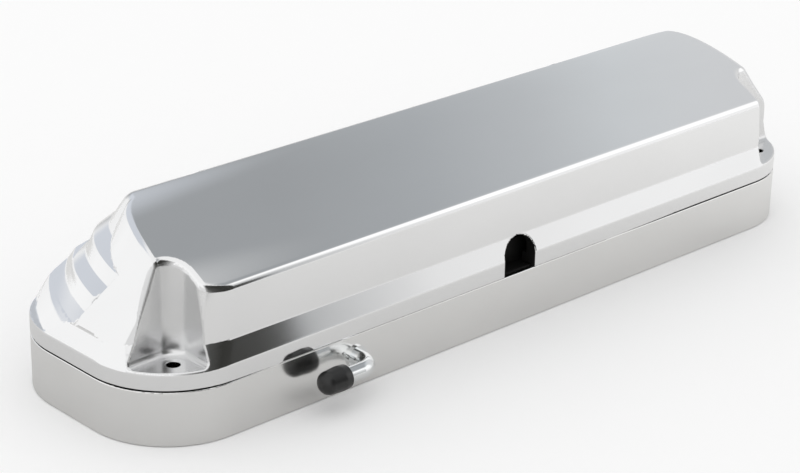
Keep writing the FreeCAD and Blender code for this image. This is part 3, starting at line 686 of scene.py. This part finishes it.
WALLS = ((0.0, grey(1.0)), (0.40, grey(0.90)), (0.50, (0.36, 0.375, 0.39)),
         (0.60, (0.355, 0.37, 0.385)), (0.65, (0.41, 0.43, 0.45)),
         (0.684, (0.50, 0.52, 0.54)), (0.713, (0.61, 0.635, 0.655)),
         (0.75, (0.66, 0.67, 0.685)), (1.0, grey(0.75)))
PANEL_TURN, PANEL_FALL = (52.0, 60.0, 104.0, 114.0), (46.0, 60.0)
PANEL_TILT, PANEL_OVER, PANEL_COLOUR = 0.62, (-49.0, -42.0), (0.66, 0.69, 0.745)
CORNER_TURN, CORNER_LIFT = (-185.0, -180.0, -122.0, -112.0), (-60.0, -50.0, 6.0, 20.0)
CORNER_COLOUR = grey(0.76)
CEILING_RISE, CEILING_COLOUR = (52.0, 62.0), grey(0.95)
GAP_TURN, GAP_FALL, GAP_SPAN = (-130.0, -122.0, -54.0, -53.6), (42.0, 56.0), (-125.0, -54.0)
GAP_COLOURS = ((0.0, grey(0.78)), (0.14, grey(0.55)), (0.32, (0.30, 0.30, 0.295)),
               (0.55, (0.075, 0.075, 0.072)), (0.78, (0.035, 0.035, 0.032)),
               (1.0, (0.045, 0.045, 0.042)))
BOX_TURN, BOX_FALL, BOX_SPAN = (-54.0, -53.6, -20.0, -8.0), (30.0, 44.0), (-54.0, -30.0)
BOX_COLOURS = ((0.0, (0.52, 0.53, 0.54)), (0.06, (0.60, 0.605, 0.61)), (0.16, grey(0.84)),
               (0.38, grey(0.96)), (1.0, grey(1.0)))
LAMP_TURN, LAMP_LIFT = (-52.0, -46.0, -24.0, -14.0), (6.0, 14.0, 30.0, 42.0)
LAMP_COLOUR = grey(1.15)


def ramp(tree, source, stops):
    node = tree.nodes.new("ShaderNodeValToRGB")
    band = node.color_ramp
    while len(band.elements) < len(stops):
        band.elements.new(1.0)
    for element, (at, colour) in zip(band.elements, stops):
        element.position = at
        element.color = (*colour, 1.0)
    tree.links.new(source, node.inputs["Fac"])
    return node.outputs["Color"]


def rising(tree, value, low, high):
    return map_range(tree, value, low, high, 0.0, 1.0, True)


def falling(tree, value, low, high):
    return map_range(tree, value, low, high, 1.0, 0.0, True)


def window(tree, value, low, low_end, high_end, high):
    """One between low_end and high_end, falling to nothing at low and high."""
    return maths(tree, "MULTIPLY", rising(tree, value, low, low_end),
                 falling(tree, value, high_end, high))


def directions(tree):
    """Turn and lift in degrees of each direction of the room, and its share along +X."""
    coord = tree.nodes.new("ShaderNodeTexCoord")
    axes = tree.nodes.new("ShaderNodeSeparateXYZ")
    tree.links.new(coord.outputs["Generated"], axes.inputs["Vector"])
    x, y, z = (axes.outputs[axis] for axis in "XYZ")
    degrees = 180.0 / math.pi
    turn = maths(tree, "MULTIPLY", maths(tree, "ARCTAN2", y, x), degrees)
    lift = maths(tree, "MULTIPLY", maths(tree, "ARCSINE", z), degrees)
    return turn, lift, maths(tree, "MAXIMUM", x, 0.0)


def room_colour(tree):
    """Pale walls with a blue-grey panel, a pale corner, a ceiling, a dark gap, a soft box
    and a lamp, each laid over the ones before it."""
    turn, lift, ahead = directions(tree)

    def patch(turns, rest):
        return maths(tree, "MULTIPLY", window(tree, turn, *turns), rest)

    room = ramp(tree, ahead, WALLS)
    over = maths(tree, "SUBTRACT", lift, maths(tree, "MULTIPLY", turn, PANEL_TILT))
    panel = patch(PANEL_TURN, rising(tree, over, *PANEL_OVER))
    panel = maths(tree, "MULTIPLY", panel, falling(tree, lift, *PANEL_FALL))
    room = blend(tree, panel, room, PANEL_COLOUR)
    corner = patch(CORNER_TURN, window(tree, lift, *CORNER_LIFT))
    room = blend(tree, corner, room, CORNER_COLOUR)
    room = blend(tree, rising(tree, lift, *CEILING_RISE), room, CEILING_COLOUR)
    for turns, fall, span, colours in ((GAP_TURN, GAP_FALL, GAP_SPAN, GAP_COLOURS),
                                       (BOX_TURN, BOX_FALL, BOX_SPAN, BOX_COLOURS)):
        shade = ramp(tree, map_range(tree, turn, *span, 0.0, 1.0), colours)
        room = blend(tree, patch(turns, falling(tree, lift, *fall)), room, shade)
    lamp = patch(LAMP_TURN, window(tree, lift, *LAMP_LIFT))
    return blend(tree, lamp, room, LAMP_COLOUR)


def build_studio():
    """Plain white light, with the room seen in the metal alone."""
    world = bpy.data.worlds.new("studio")
    bpy.context.scene.world = world
    world.use_nodes = True
    tree = world.node_tree
    room = room_colour(tree)
    colour = blend(tree, ray_kind(tree, "Is Glossy Ray"), grey(1.0), room)
    tree.links.new(colour, tree.nodes["Background"].inputs["Color"])


# Camera measured from the picture: place in metres, angles in degrees, focus in pixels
CAMERA_AT = (-0.7394, -0.7534, 0.4742)
YAW, PITCH, ROLL = -43.535, 23.045, -1.125
FOCUS, PICTURE_W, SENSOR_W = 2316.63, 800.0, 36.0


def place_camera():
    data = bpy.data.cameras.new("camera")
    obj = bpy.data.objects.new("camera", data)
    bpy.context.scene.collection.objects.link(obj)
    yaw, pitch, roll = (math.radians(a) for a in (YAW, PITCH, ROLL))
    ahead = Vector((-math.sin(yaw) * math.cos(pitch), math.cos(yaw) * math.cos(pitch),
                    -math.sin(pitch)))
    level = Vector((math.cos(yaw), math.sin(yaw), 0.0))
    down = ahead.cross(level)
    right = level * math.cos(roll) + down * math.sin(roll)
    under = down * math.cos(roll) - level * math.sin(roll)
    turn = Matrix((right, -under, -ahead)).transposed()
    obj.matrix_world = Matrix.Translation(CAMERA_AT) @ turn.to_4x4()
    data.sensor_width = SENSOR_W
    data.lens = FOCUS * SENSOR_W / PICTURE_W
    bpy.context.scene.camera = obj


build_floor()
build_studio()
place_camera()
bpy.context.scene.view_settings.view_transform = "Standard"
